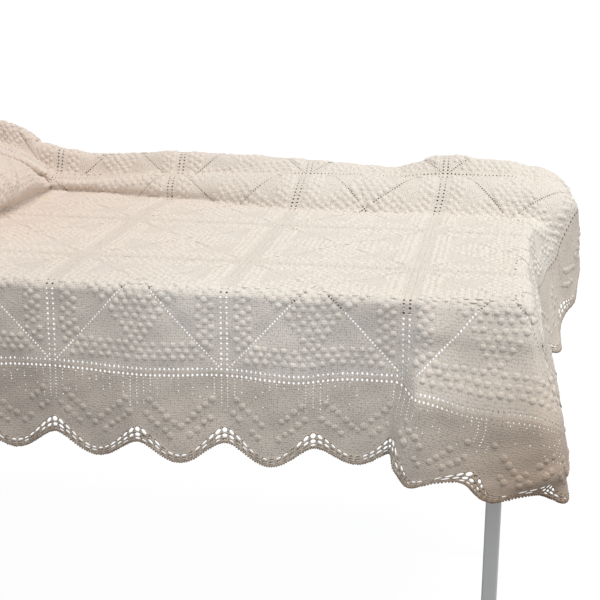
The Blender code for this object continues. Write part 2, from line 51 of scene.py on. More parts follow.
# Spread, flat
SQUARE = 0.275  # side of one popcorn square
COLUMNS, ROWS = 6, 4
RIGHT_OVERHANG = 0.110  # field beyond the table
FRONT_OVERHANG = SQUARE / 2
SCALLOP = SQUARE / 2  # pitch of the scallops
BORDER_CUSP, BORDER_TIP = 0.086, 0.132  # depth where two scallops meet, and at a tip
LACE_CUSP, LACE_TIP = 0.114, 0.146  # the same with the lace
HEM_POWER, EDGE_POWER = 1.5, 1.7  # how round the notches are

U1, V0 = RIGHT_OVERHANG, -FRONT_OVERHANG
U0, V1 = U1 - COLUMNS * SQUARE, V0 + ROWS * SQUARE

TABLE_LENGTH, TABLE_DEPTH = 1.33, 0.75

# Cloth against the table
STANDOFF = 0.012  # radius of the turn over the table's edges
LIFT = 0.0016  # middle of the cloth above the board
REAR_STANDOFF = 0.025
EDGE_ROOM = 0.006  # from the board to where the cloth turns down

# Folds along the back, a row for each section across the table, in mm
RIDGE = np.array((
    # x, toe_y, tuck, nose_y, nose_z, crest1_y, crest1_z, dip_y, dip_z, crest2_y, crest2_z
    (-1330, 655, 0, 3, 8, 695, 30, 715, 28, 745, 50),
    (-1110, 650, 6, 4, 11, 690, 36, 712, 36, 745, 96),
    (-920, 640, 12, 6, 14, 680, 34, 705, 22, 745, 66),
    (-700, 600, 10, 8, 16, 650, 48, 680, 36, 728, 80),
    (-420, 540, 10, 16, 22, 610, 62, 650, 52, 705, 73),
    (-280, 540, 10, 18, 22, 610, 62, 650, 50, 702, 64),
    (-160, 550, 10, 20, 22, 618, 64, 650, 58, 702, 94),
    (-40, 555, 10, 20, 22, 630, 64, 660, 59, 705, 81),
    (0, 555, 10, 18, 20, 635, 60, 665, 54, 710, 71),
)) / 1000
# Heap of slack at the left end, a row for each section from front to back, in mm
HEAP = np.array((
    # v, foot_x, tuck, nose_z, crest_x, crest_z, heel_x
    (-280, -1000, 4, 6, -1100, 55, -1215),
    (-50, -1000, 6, 8, -1100, 70, -1215),
    (120, -985, 16, 24, -1105, 92, -1245),
    (300, -962, 22, 36, -1112, 113, -1258),
    (500, -950, 18, 36, -1125, 108, -1262),
    (650, -980, 8, 14, -1165, 70, -1268),
    (800, -1045, 4, 6, -1185, 46, -1262),
    (950, -1060, 4, 6, -1170, 40, -1245),
    (1200, -1060, 4, 6, -1170, 34, -1235),
)) / 1000
# Headings from the table's corner: turn from the front edge, and lean out for each metre down
CORNER = (
    # turn, out_x, out_y
    (40, -1.19, 0.00), (60, -0.577, -0.04), (76, -0.26, -0.10), (92, 0.03, -0.16),
    (110, 0.19, -0.16), (128, 0.17, 0.09), (146, 0.155, 0.25), (164, 0.20, 0.36),
    (190, 0.25, 0.53), (215, 0.28, 0.727),
)
SIDE_LEAN = 0.28  # of the hanging side next to the corner
CORNER_EASE = 40  # times the headings are averaged
# Crease down the front drop, past which the cloth stands forward and sags, in mm
CREASE_U, CREASE_WIDTH, CREASE_SLANT = -0.172, 0.050, 0.08
CREASE_SLOW = (-0.182, -0.032)  # the slower start of its sag
CREASE_END, INWARD_END = (130, 185), (100, 130)  # turns over which it dies out
CREASE = np.array((
    # depth, forward, inward, sag
    (0, 0, 0, 0),
    (50, 16, 3, 10),
    (140, 48, 14, 28),
    (200, 46, 30, 24),
    (280, 34, 74, 6),
    (400, 30, 74, 0),
)) / 1000
# Fall past the ends, a row for each place along them: how far a rounded shoulder reaches out and
# drops, in mm, then how far out the cloth goes for each metre down
RIGHT_END = np.array((
    # v, shoulder, drop, out
    (-300, 12, 12, 280), (280, 12, 12, 280), (420, 13, 12, 180), (500, 20, 15, 300),
    (580, 55, 35, 220), (670, 95, 65, 80), (760, 90, 85, 40), (860, 80, 80, 40),
)) / 1000
LEFT_END = np.array((
    (-300, 12, 12, 220), (200, 12, 12, 220), (340, 14, 12, 400), (460, 14, 12, 180),
    (600, 30, 20, 360), (740, 55, 50, 200), (860, 70, 65, 80),
)) / 1000
# Headings from a rear corner, turning from straight down the back
REAR = (
    # turn, out_x, out_y
    (0, 0.00, 0.00), (15, 0.05, 0.20), (30, 0.11, 0.42), (45, 0.19, 0.55), (60, 0.15, 0.44),
    (75, 0.06, 0.21), (90, 0.00, 0.00),
)
# Soft waves of the front drop: forward for each metre of depth, length, and start
WAVES = ((0.020, 0.410, -0.050), (0.012, 0.173, 0.030))
NOSE_LEAN = 30  # of a fold's nose for each metre behind its toe
HEAP_LEAN, LOW_NOSE = 0.6, (0.030, 0.010)  # of the heap's nose where it is low
HANG = 0.04  # how far the front drop goes forward for each metre of depth
SAG = 0.005  # of the front seam in the middle of a square
REAR_SHIFT, REAR_SHIFT_V = 0.012, (0.52, 0.62)  # to the right over the folds
TILT_FRONT, TILT_REAR = (-0.03, 0.03), (0.80, 0.94)  # where the heap turns over the edges

# Where the corner blends with its neighbours
BLEND_FRONT, BLEND_SIDE = (-0.34, -0.24), (0.03, 0.23)
EASE, EASE_REACH = 0.010, 0.025  # how far the turns near the corners are rounded off

RUN_STEPS = 20  # points between two keys of a run


def smooth(t):
    """Ease from 0 to 1."""
    t = np.clip(t, 0.0, 1.0)
    return t * t * (3 - 2 * t)


def eased(place, span):
    """Ease from 0 at the start of a span to 1 at its end."""
    return smooth((place - span[0]) / (span[1] - span[0]))


def row_at(table, place):
    """Row of a table at a place, eased between its rows."""
    rows = np.array(table)
    places = rows[:, 0]
    place = np.clip(place, places[0], places[-1])
    k = np.clip(np.searchsorted(places, place) - 1, 0, len(places) - 2)
    t = smooth((place - places[k]) / (places[k + 1] - places[k]))
    return rows[k] + (rows[k + 1] - rows[k]) * np.expand_dims(t, -1)


def hermite(t):
    """Weights of a cubic's points and slopes, first then last."""
    return 2 * t**3 - 3 * t**2 + 1, t**3 - 2 * t**2 + t, 3 * t**2 - 2 * t**3, t**3 - t**2


def curve_at(table, turn):
    """Smooth curve through a table's rows, held past its ends."""
    rows = np.array(table, dtype=float)
    turn = np.clip(turn, rows[0, 0], rows[-1, 0])
    k = np.clip(np.searchsorted(rows[:, 0], turn) - 1, 0, len(rows) - 2)
    gap = (rows[k + 1, 0] - rows[k, 0])[..., None]
    a, b, c, d = (w[..., None] for w in hermite((turn - rows[k, 0]) / gap[..., 0]))
    slopes = np.gradient(rows[:, 1:], rows[:, 0], axis=0)
    return a * rows[k, 1:] + b * gap * slopes[k] + c * rows[k + 1, 1:] + d * gap * slopes[k + 1]


def unit(vectors):
    """Vectors made one long."""
    return vectors / np.linalg.norm(vectors, axis=-1)[..., None]


def leaning(out):
    """Unit headings that fall, and lean out in x and y."""
    return unit(join([out, -np.ones_like(out[..., :1])], axis=-1))


def run(keys):
    """Smooth run through keys, each a point and a heading."""
    a, b, c, d = (w[:, None] for w in hermite(np.linspace(0.0, 1.0, RUN_STEPS)[:-1]))
    pieces = []
    for (p, p_way), (q, q_way) in zip(keys, keys[1:]):
        p, p_way, q, q_way = (np.array(each, dtype=float) for each in (p, p_way, q, q_way))
        reach = np.linalg.norm(q - p)
        pieces.append(a * p + b * reach * p_way + c * q + d * reach * q_way)
    pieces.append(np.array([keys[-1][0]], dtype=float))
    return join(pieces)


def lengths_along(points):
    """Length along a run at each of its points."""
    steps = np.linalg.norm(np.diff(points, axis=0), axis=1)
    return join(([0.0], np.cumsum(steps)))


def at_lengths(points, along, wanted):
    """Points of a run at the wanted lengths."""
    return np.stack([np.interp(wanted, along, points[:, k]) for k in range(2)], axis=-1)


def ridge_keys(row):
    """Front hem, flat top, two folds and rear hem, as (y, z) keys."""
    _, toe, tuck, y_nose, nose, y1, z1, y_dip, z_dip, y2, z2 = row
    rear = TABLE_DEPTH + REAR_STANDOFF
    right, up, down = (1, 0), (0, 1), (0, -1)
    return [((-STANDOFF, -0.40), up), ((-STANDOFF, LIFT - STANDOFF), up), ((0.0, LIFT), right),
            ((toe, LIFT), right), ((toe + tuck, LIFT + 0.3 * nose), (0.25, 0.5)),
            ((toe + y_nose, LIFT + nose), (NOSE_LEAN * y_nose, 1)),
            ((y1, z1), right), ((y_dip, z_dip), right), ((y2, z2), right),
            ((rear, -0.04), down), ((rear, -0.60), down)]


def heap_keys(row):
    """Right edge, heap and left edge, as (x, z) keys."""
    _, foot, tuck, nose, x_crest, z_crest, heel = row
    left = (-1, 0)
    lean = HEAP_LEAN * eased(nose, LOW_NOSE)
    return [((0, 0), left), ((foot, 0), left), ((foot - tuck, 0.3 * nose), (-0.25, 0.5)),
            ((foot - 0.003, nose), (-lean, 1 - lean)),
            ((x_crest, z_crest), left), ((heel, 0), left), ((-TABLE_LENGTH, 0), left)]


V_GRID = np.linspace(-0.31, 1.25, 590)
X_GRID = np.linspace(-TABLE_LENGTH - 0.05, 0.0, 90)
U_GRID = np.linspace(-2.0, 0.0, 700)


def ridge_grid():
    """(y, z) at each x and v, and the v of the last crest."""
    grid, rear = [], []
    for x in X_GRID:
        points = run(ridge_keys(row_at(RIDGE, x)))
        along = lengths_along(points)
        front = along[np.argmin(np.hypot(points[:, 0], points[:, 1] - LIFT))]
        grid.append(at_lengths(points, along - front, V_GRID))
        rear.append(along[-1 - 2 * (RUN_STEPS - 1)] - front)
    return np.array(grid), np.array(rear)


def heap_grid():
    """(x, z) at each v and u, and the u of the table's left edge."""
    grid, edge = [], []
    for v in V_GRID:
        points = run(heap_keys(row_at(HEAP, v)))
        along = lengths_along(points)
        edge.append(-along[-1])
        points = np.vstack((points, points[-1] - (1.0, 0.0)))
        grid.append(at_lengths(points, np.append(along, along[-1] + 1.0), -U_GRID))
    return np.array(grid), np.array(edge)


RIDGE_GRID, LAST_CREST = ridge_grid()
HEAP_GRID, LEFT_EDGE = heap_grid()


def between(grid, rows, columns, row, column):
    """Values of a grid between its rows and columns."""
    i = np.clip(np.searchsorted(rows, row) - 1, 0, len(rows) - 2)
    j = np.clip(np.searchsorted(columns, column) - 1, 0, len(columns) - 2)
    a = np.clip((row - rows[i]) / (rows[i + 1] - rows[i]), 0, 1)[..., None]
    b = np.clip((column - columns[j]) / (columns[j + 1] - columns[j]), 0, 1)[..., None]
    return ((1 - a) * ((1 - b) * grid[i, j] + b * grid[i, j + 1])
            + a * ((1 - b) * grid[i + 1, j] + b * grid[i + 1, j + 1]))


def panel(u, v):
    """The cloth on the table and down its front and back."""
    u = np.minimum(u, 0.0)
    heap = between(HEAP_GRID, V_GRID, U_GRID, v, u)
    ridge = between(RIDGE_GRID, X_GRID, V_GRID, heap[..., 0], v)
    depth = np.clip(-v, 0, None)
    forward = HANG
    for swing, length, start in WAVES:
        forward = forward - swing * np.sin(2 * np.pi * (u - start) / length)
    hangs = np.clip(depth / FRONT_OVERHANG, 0, 1)
    sag = SAG * np.sin(np.pi * (u - U1) / SQUARE) ** 2 * hangs
    shift = REAR_SHIFT * eased(v, REAR_SHIFT_V)
    tilt = np.pi / 2 * (eased(v, TILT_REAR) + eased(v, TILT_FRONT) - 1)
    return np.stack([heap[..., 0] + shift,
                     ridge[..., 0] - forward * depth + heap[..., 1] * np.sin(tilt),
                     ridge[..., 1] + heap[..., 1] * np.cos(tilt) - sag], axis=-1)


def corner_headings():
    """Turns of 0 to 270 degrees round the table's corner, and their headings."""
    turns = np.linspace(0, 270, 541)
    angle = np.radians(turns)
    front = np.stack([-np.cos(angle), 0 * angle, -np.sin(angle)], axis=-1)
    rest = np.radians(270) - angle
    side = np.stack([0 * rest, np.cos(rest), 0 * rest], axis=-1)
    side += np.sin(rest)[:, None] * leaning(np.array([SIDE_LEAN, 0.0]))
    heading = np.where((turns <= CORNER[0][0])[:, None], front, leaning(curve_at(CORNER, turns)))
    heading = np.where((turns >= CORNER[-1][0])[:, None], side, heading)
    for _ in range(CORNER_EASE):
        heading[1:-1] = (heading[:-2] + 2 * heading[1:-1] + heading[2:]) / 4
    return turns, unit(heading)


CORNER_TURNS, CORNER_HEADINGS = corner_headings()


def corner(over, v, creased):
    """The cloth round a front corner. over is how far it is past the table's end."""
    across, along = over - STANDOFF, v + STANDOFF
    turn = np.degrees(np.arctan2(-along, -across)) % 360
    turn = np.where(turn > 315, 0, np.minimum(turn, 270))
    parts = [np.interp(turn, CORNER_TURNS, part) for part in CORNER_HEADINGS.T]
    heading = np.stack(parts, axis=-1)
    place = np.array([STANDOFF, -STANDOFF, LIFT]) + np.hypot(across, along)[..., None] * heading
    if not creased:
        return place
    depth = LIFT - place[..., 2]
    _, forward, inward, sag = np.moveaxis(row_at(CREASE, depth), -1, 0)
    crease = CREASE_U - CREASE_SLANT * depth
    sharp = eased(over, (crease, crease + CREASE_WIDTH)) * (1 - eased(turn, CREASE_END))
    slow = eased(over, CREASE_SLOW) * (1 - eased(turn, CREASE_END))
    inward = inward * (1 - eased(turn, INWARD_END))
    way = np.radians(np.clip(turn - 90, 0, 90))
    out = forward * sharp * np.sin(way) - inward * (0.4 * sharp + 0.6 * slow)
    up = -sag * (0.2 * sharp + 0.8 * slow)
    return place + np.stack([out, -forward * sharp * np.cos(way), up], axis=-1)


def end_fall(over, v, table):
    """How far the cloth goes out, back and up past an end of the table."""
    _, shoulder, drop, out = np.moveaxis(row_at(table, v), -1, 0)
    over = np.clip(over, 0, None)
    x = z = used = 0.0
    turns = np.linspace(0, np.pi / 2, 13)
    for first, last in zip(turns, turns[1:]):
        dx = shoulder * (math.sin(last) - math.sin(first))
        dz = drop * (math.cos(last) - math.cos(first))
        step = np.hypot(dx, dz)
        share = np.clip((over - used) / step, 0, 1)
        x, z, used = x + share * dx, z + share * dz, used + step
    fall = np.clip(over - used, 0, None) / np.hypot(out, 1.0)
    return np.stack([x + fall * out, np.zeros_like(fall), z - fall], axis=-1)


def rear_corner(over, below, down_back, down_end):
    """Flute past the last crest, between the cloth down the back and the end."""
    turn = np.degrees(np.arctan2(over, below))
    heading = leaning(curve_at(REAR, turn))
    reach = np.hypot(over, below)
    plumb = np.stack([0 * reach, 0 * reach, -reach], axis=-1)
    share = smooth(turn / 90)[..., None]
    bulge = reach[..., None] * heading - plumb
    return bulge + down_back(reach) * (1 - share) + down_end(reach) * share


def past_end(over, v, left):
    """The cloth past an end of the table, but for its front corner."""
    x, table, way = (-TABLE_LENGTH, LEFT_END, -1.0) if left else (0.0, RIGHT_END, 1.0)
    crest = float(np.interp(x, X_GRID, LAST_CREST))

    def edge(v):
        u = np.interp(v, V_GRID, LEFT_EDGE) if left else np.zeros_like(v)
        return panel(u, v) * (way, 1.0, 1.0)

    def down_back(reach):
        return edge(crest + reach)

    def down_end(reach):
        return edge(np.full_like(reach, crest)) + end_fall(reach, np.full_like(reach, crest), table)

    over = np.clip(over, 0, None)
    side = edge(v) + end_fall(over, v, table)
    rear = rear_corner(over, np.clip(v - crest, 0, None), down_back, down_end)
    return np.where((v > crest)[..., None], rear, side) * (way, 1.0, 1.0)


def corner_share(over, v):
    """How much of a place is the corner's."""
    front = np.where(over > STANDOFF, 1.0, eased(over, BLEND_FRONT))
    side = np.where(over > STANDOFF, 1 - eased(v, BLEND_SIDE), 0.0)
    return np.where(v < -STANDOFF, front, side)[..., None]


def hung(u, v):
    """The drape before its turns are eased."""
    past = np.interp(v, V_GRID, LEFT_EDGE) - u
    place = panel(u, v)
    for over, left in ((u, False), (past, True)):
        place = np.where((over > 0)[..., None], past_end(over, v, left), place)
    at_right = corner(u, v, creased=True)
    at_left = corner(past, v, creased=False) * (-1, 1, 1) - (TABLE_LENGTH, 0, 0)
    for over, at_corner in ((u, at_right), (past, at_left)):
        share = corner_share(over, v)
        place = place * (1 - share) + share * at_corner
    return place


def drape(u, v):
    """Middle of the cloth at flat places, with the turns near the corners eased."""
    u, v = np.asarray(u, dtype=float), np.asarray(v, dtype=float)
    past_left = np.interp(v, V_GRID, LEFT_EDGE) - u
    at_end = np.minimum(np.abs(u - STANDOFF), np.abs(past_left - STANDOFF))
    across = EASE * smooth(1.6 - at_end / EASE_REACH) * (1 - eased(v, (0.3, 0.4)))
    along = EASE * smooth(1.6 - np.abs(v + STANDOFF) / EASE_REACH)
    along = along * eased(np.maximum(u, past_left), (-0.45, -0.25))
    shifts = (-1, -0.5, 0, 0.5, 1)
    total = sum(hung(u + a * across, v + b * along) for a in shifts for b in shifts)
    return total / len(shifts) ** 2


def scalloped(along, cusp, tip, power):
    """Depth along a scalloped line, from cusp to tip."""
    return cusp + (tip - cusp) * np.abs(np.sin(np.pi * along / SCALLOP)) ** power


HEM = (BORDER_CUSP, BORDER_TIP, HEM_POWER)
EDGE = (LACE_CUSP, LACE_TIP, EDGE_POWER)

# The drape, worked out on a lattice and read between its points
LATTICE = 0.004
MARGIN = LACE_TIP + 0.012  # lattice beyond the field
HUNG_SHORT = 0.013  # stretch of the front drop
ABOVE = 0.0024  # least height of the cloth's face above the board
WIDE_WAVE, SMALL_WAVE, PULL = 0.0022, 0.0009, 0.0006  # heights of its soft waves
ON_BOARD, SHALLOW = 0.0013, 0.6  # lift on the board, and how much shallower they are there
BOARD_SPAN, BOARD_EASE = (-0.01, 0.54), 0.03

board_low, board_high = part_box("table_board")
TABLE_CORNER = np.array([board_high.x + EDGE_ROOM, board_low.y - EDGE_ROOM, board_high.z])


def ripple(along, across, length, slant):
    """Waves along one way, slanting by a share of the other."""
    return np.sin(2 * np.pi * (along + slant * across) / length)


def unevenness(u, v):
    """Height of the cloth's soft waves."""
    wide = WIDE_WAVE * ripple(u, v, 0.31, 0.35) * ripple(v, u, 0.27, -0.2)
    small = SMALL_WAVE * ripple(u, v, 0.083, -0.083 / 0.19) * ripple(v, u, 0.071, 0.071 / 0.23)
    pulled = PULL * ripple(u, v, 0.034 / 0.94, -0.34 / 0.94) * ripple(u, v, 0.36, 0.5) ** 2
    first, last = BOARD_SPAN
    on_board = smooth((v - first) / BOARD_EASE) * smooth((last - v) / BOARD_EASE)
    on_board = on_board * smooth(-u / BOARD_EASE)
    return (wide + small) * (1 - SHALLOW * on_board) + (ON_BOARD + pulled) * on_board


def lattice():
    """Lines of the lattice, and the cloth's place and normal where they cross."""
    us = np.arange(U0 - MARGIN, U1 + MARGIN, LATTICE)
    vs = np.arange(V0 - MARGIN, V1 + MARGIN, LATTICE)
    u, v = np.meshgrid(us, vs, indexing="ij")
    points = drape(u, v) + TABLE_CORNER

    def normals(points):
        return unit(np.cross(np.gradient(points, axis=0), np.gradient(points, axis=1)))

    points += normals(points) * unevenness(u, v)[..., None]
    low, high = np.array(board_low) - ABOVE, np.array(board_high) + ABOVE
    over_board = np.all((points[..., :2] > low[:2]) & (points[..., :2] < high[:2]), axis=-1)
    over_board &= points[..., 2] > board_low.z
    points[..., 2] = np.maximum(points[..., 2], np.where(over_board, high[2], 0.0))
    return us, vs, join([points, normals(points)], axis=-1)


LATTICE_U, LATTICE_V, CLOTH_GRID = lattice()


def spline_weights(t):
    """Weights of the four lattice lines round a place."""
    a, b, c, d = hermite(t)
    return -b / 2, a - d / 2, c + b / 2, d / 2


def draped(flat):
    """Place in the room of flat places (u, v, height above the cloth)."""
    u, v, height = flat.T
    v = v + np.interp(v, (V0, -HUNG_SHORT, V1), (0.0, HUNG_SHORT, 0.0))
    i, a = np.divmod((u - LATTICE_U[0]) / LATTICE, 1.0)
    j, b = np.divmod((v - LATTICE_V[0]) / LATTICE, 1.0)
    i, j = i.astype(int), j.astype(int)
    total = np.zeros((len(u), 6))
    for di, wi in enumerate(spline_weights(a)):
        for dj, wj in enumerate(spline_weights(b)):
            total += (wi * wj)[:, None] * CLOTH_GRID[i + di - 1, j + dj - 1]
    return total[:, :3] + unit(total[:, 3:]) * height[:, None]


def set_on(places, shapes):
    """Points in the room of small stiff shapes that stand at flat places."""
    step = np.array([0.001, 0.0, 0.0])
    across = unit(draped(places + step) - draped(places - step))
    along = draped(places + step[[1, 0, 2]]) - draped(places - step[[1, 0, 2]])
    up = unit(np.cross(across, along))
    axes = np.stack([across, np.cross(up, across), up], axis=1)
    return draped(places)[:, None, :] + np.einsum("nkc,ncx->nkx", shapes, axes)


def link(name, data):
    """Object in the scene."""
    thing = bpy.data.objects.new(name, data)
    bpy.context.scene.collection.objects.link(thing)
    return thing


# Flat meshes
class Flat:
    """Mesh in the making: draped points, faces and their weave places."""

    def __init__(self, weave):
        self.weave = weave
        self.points, self.faces, self.weaves, self.count = [], [], [], 0

    def add(self, points, faces, placed=None):
        """Add flat points, faces that count from the first of them, and the points' places in the
        room if they don't follow the drape."""
        for group in faces:
            self.faces.append(group + self.count)
            self.weaves.append(self.weave(points[group]))
        self.points.append(draped(points) if placed is None else placed)
        self.count += len(points)

    def stand(self, places, shapes, tris, quads):
        """Add a small shape at each flat place, all with the same faces."""
        first = shapes.shape[1] * np.arange(len(shapes))[:, None, None]
        faces = [(first + tris).reshape(-1, 3), (first + quads).reshape(-1, 4)]
        placed = set_on(places, shapes).reshape(-1, 3)
        self.add((shapes + places[:, None, :]).reshape(-1, 3), faces, placed)

    def piece(self, name, material):
        """Draped object of the mesh."""
        points = join(self.points)
        sizes = join([np.full(len(group), group.shape[1]) for group in self.faces])
        corners = join([group.ravel() for group in self.faces])
        starts = np.cumsum(sizes) - sizes
        weave = join([group.reshape(-1, 2) for group in self.weaves])
        mesh = bpy.data.meshes.new(name)
        mesh.vertices.add(len(points))
        mesh.vertices.foreach_set("co", points.astype(np.float32).ravel())
        mesh.loops.add(len(corners))
        mesh.polygons.add(len(sizes))
        mesh.polygons.foreach_set("loop_start", starts.astype(np.int32))
        mesh.loops.foreach_set("vertex_index", corners.astype(np.int32))
        mesh.update(calc_edges=True)
        layer = mesh.uv_layers.new(name="weave")
        layer.data.foreach_set("uv", weave.astype(np.float32).ravel())
        mesh.shade_smooth()
        mesh.materials.append(material)
        thing = link(name, mesh)
        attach(thing, "root")
        return thing


def flat_weave(corners):
    """Weave places of faces, as they lie."""
    return corners[..., :2]


EIGHT = np.radians(202.5 + 45.0 * np.arange(8))  # corners of a hole


def corners_of(columns, i, j):
    """The four points of the cells (i, j) of a grid."""
    first = i * columns + j
    return np.stack([first, first + columns, first + columns + 1, first + 1], axis=-1)


def cell_axes(flat, corner):
    """Middle of each cell, and its reach across and along."""
    a, b, c, d = np.moveaxis(flat[corner], 1, 0)
    return flat[corner].mean(axis=1), (b + c - a - d) / 2, (d + c - a - b) / 2


def eight_round(middle, across, along):
    """Eight points round each middle, from its half axes."""
    return (middle[:, None, :] + np.cos(EIGHT)[:, None] * across[:, None, :]
            + np.sin(EIGHT)[:, None] * along[:, None, :])


def round_hole(corner, ring):
    """Triangles and quads between the corners of each cell and its hole."""
    tris, quads = [], []
    for k in range(4):
        n, first, last = (k + 1) % 4, 2 * k + 1, (2 * k + 2) % 8
        tris.append(np.stack([corner[:, k], ring[:, first], ring[:, 2 * k]], axis=1))
        quads.append(np.stack([corner[:, k], corner[:, n], ring[:, last], ring[:, first]], axis=1))
    return join(tris), join(quads)


def grid_with_holes(shape, points, holes, radii, rim):
    """Add a grid of flat points with holes, whose half sizes are radii and whose depth is rim."""
    rows, columns = points.shape[:2]
    plain = corners_of(columns, *np.nonzero(~holes))
    corner = corners_of(columns, *np.nonzero(holes))
    flat = points.reshape(-1, 3)
    middle, across, along = cell_axes(flat, corner)
    wide, long = radii[holes].T[..., None]
    hole = eight_round(middle, unit(across) * wide, unit(along) * long)
    ring = rows * columns + np.arange(8 * len(corner)).reshape(-1, 8)
    tris, quads = round_hole(corner, ring)
    quads = [plain, quads]
    parts = [flat, hole.reshape(-1, 3)]
    if rim:
        parts.append(hole.reshape(-1, 3) - (0, 0, rim))
        after = np.roll(ring, -1, axis=1)
        sides = np.stack([ring, after, after + ring.size, ring + ring.size], axis=-1)
        quads.append(sides.reshape(-1, 4))
    shape.add(join(parts), [tris, join(quads)])


# Field of squares
EYELET_FROM, EYELET_TO = 0.0023, 0.0069  # row of eyelets beside a seam
CELLS = 71  # between the two rows of eyelets
DRAWN_SHUT, DRAWN_U = 0.55, (-0.12, -0.07)  # of the corner's front seam
SLANTED_EYELET, SEAM_EYELET, CROSS_EYELET = 0.0016, (0.0021, 0.0017), 0.0022  # their half sizes
EYELET_SPREAD = (0.98, 0.13, 0.6, 1.05)  # their size: mean, spread, least and most
RIM = 0.0020
PUFF, PUFF_FROM, PUFF_OVER = 0.0010, 0.004, 0.020  # how the cloth puffs up between the rows
ROUGH = 0.00012  # random height of the cloth

random = np.random.default_rng(7)

INNER = np.linspace(EYELET_TO, SQUARE - EYELET_TO, CELLS + 1)
LINES = join([[0.0, EYELET_FROM], INNER, [SQUARE - EYELET_FROM, SQUARE]])
PER_SQUARE = len(LINES) - 1


def quadrant_weave(corners):
    """Weave places of faces in the field. Its stitches follow the nearest side of the square."""
    u, v = corners[..., 0] - U0, corners[..., 1] - V0
    a = u - SQUARE * (np.floor(u.mean(axis=1) / SQUARE)[:, None] + 0.5)
    b = v - SQUARE * (np.floor(v.mean(axis=1) / SQUARE)[:, None] + 0.5)
    flat_way = (np.abs(b.mean(axis=1)) >= np.abs(a.mean(axis=1)))[:, None]
    return np.stack([np.where(flat_way, a, b), np.where(flat_way, np.abs(b), np.abs(a))], axis=-1)


def kept_open(u, v):
    """Share of its size that an eyelet keeps."""
    return 1 - DRAWN_SHUT * eased(u, DRAWN_U) * (np.abs(v - V0) < EYELET_TO + 0.002)


def field_row(row, material):
    """One row of squares from the left edge to the right one."""
    u = join([U0 + k * SQUARE + LINES[:-1] for k in range(COLUMNS)] + [[U1]])
    v = V0 + row * SQUARE + LINES
    uu, vv = np.meshgrid(u, v, indexing="ij")
    a = np.abs((uu - U0) % SQUARE - SQUARE / 2)
    b = np.abs((vv - V0) % SQUARE - SQUARE / 2)
    from_line = np.minimum(SQUARE / 2 - np.maximum(a, b), np.abs(a - b))
    height = PUFF * smooth((from_line - PUFF_FROM) / PUFF_OVER)
    height += random.normal(0.0, ROUGH, height.shape)
    i, j = np.meshgrid(np.arange(len(u) - 1) % PER_SQUARE, np.arange(PER_SQUARE), indexing="ij")
    last = PER_SQUARE - 2
    beside_u = (i == 1) | (i == last)
    beside_v = (j == 1) | (j == last)
    inside = (i >= 1) & (i <= last) & (j >= 1) & (j <= last)
    seam_holes = (beside_u & (j % 2 == 1)) | (beside_v & (i % 2 == 1))
    slanted = (i == j) | (i + j == PER_SQUARE - 1)
    holes = inside & (seam_holes | slanted)
    radii = np.full(holes.shape + (2,), SLANTED_EYELET)
    radii[beside_u & holes] = SEAM_EYELET
    radii[beside_v & holes] = SEAM_EYELET[::-1]
    radii[beside_u & beside_v] = CROSS_EYELET
    mean, spread, least, most = EYELET_SPREAD
    radii *= random.normal(mean, spread, holes.shape)[..., None].clip(least, most)
    radii *= kept_open(uu, vv)[:-1, :-1, None]
    shape = Flat(quadrant_weave)
    grid_with_holes(shape, np.stack([uu, vv, height], axis=-1), holes, radii, RIM)
    return shape.piece(f"squares_row_{row + 1}", material)


# Popcorns of one quadrant, row by row: number, and distance from the square's middle
NEAR_ROWS = [(count, 0.0130 + 0.0098 * n) for n, count in enumerate((2, 3, 4, 5, 6, 5, 4, 3, 2))]
SEAM_ROWS = [(13 + n, 0.0985 + 0.0095 * n) for n in range(3)]
NEAR_PITCH, SEAM_PITCH = 0.0150, 0.0146  # from one popcorn to the next
POPCORN_LIFT = 0.0005
POPCORN_RADIUS, POPCORN_HEIGHT = 0.0056, 0.0024
DOME = ((1.10, -0.12), (0.80, 0.50), (0.46, 0.86))  # its section in shares of radius and height
DOME_SIDES = 8
LUMP, LUMPS = 0.07, 5  # height and number of a popcorn's lumps
SIZE_SPREAD, TALL_SPREAD, LEAN_SPREAD, DRIFT = 0.09, 0.17, 0.10, 0.0009  # how unlike they are
TALL_LEAST, TALL_MOST = 0.5, 1.4


def round_faces(sides, rings, closed):
    """Triangles and quads of a round shape: rings of points, its top, and its bottom if closed."""
    k = np.arange(sides)
    n = (k + 1) % sides
    last, top = (rings - 1) * sides, np.full(sides, rings * sides)
    quads = [np.stack([k, n, n + sides, k + sides], axis=1) + low for low in range(0, last, sides)]
    tris = [np.stack([last + k, last + n, top], axis=1)]
    if closed:
        tris.append(np.stack([top + 1, n, k], axis=1))
    return join(tris), join(quads)


def add_popcorns(shape, places, radius, height):
    """Add a popcorn at each flat place, no two quite alike."""
    count = len(places)
    turn = random.uniform(0, 2 * np.pi, count)[:, None, None]
    size = radius * random.normal(1.0, SIZE_SPREAD, count)[:, None, None]
    tall = random.normal(1.0, TALL_SPREAD, count)[:, None, None]
    tall = tall.clip(TALL_LEAST, TALL_MOST) * height
    lean = random.normal(0.0, LEAN_SPREAD, (count, 2))
    drift = random.normal(0.0, DRIFT, (count, 2))
    share = np.array(DOME)
    angle = turn + 2 * np.pi * np.arange(DOME_SIDES) / DOME_SIDES
    out = size * share[None, :, :1] * (1 + LUMP * np.cos(LUMPS * (angle - turn) + 3 * turn))
    up = tall * share[None, :, 1:] + 0 * angle
    rings = np.stack([out * np.cos(angle), out * np.sin(angle), up], axis=-1)
    rings[..., :2] += lean[:, None, None, :] * up[..., None]
    top = join([lean * tall[:, 0], tall[:, 0]], axis=1)[:, None, :]
    points = join([rings.reshape(count, -1, 3), top], axis=1)
    places = places + np.column_stack([drift, np.zeros(count)])
    shape.stand(places, points, *round_faces(DOME_SIDES, len(DOME), False))


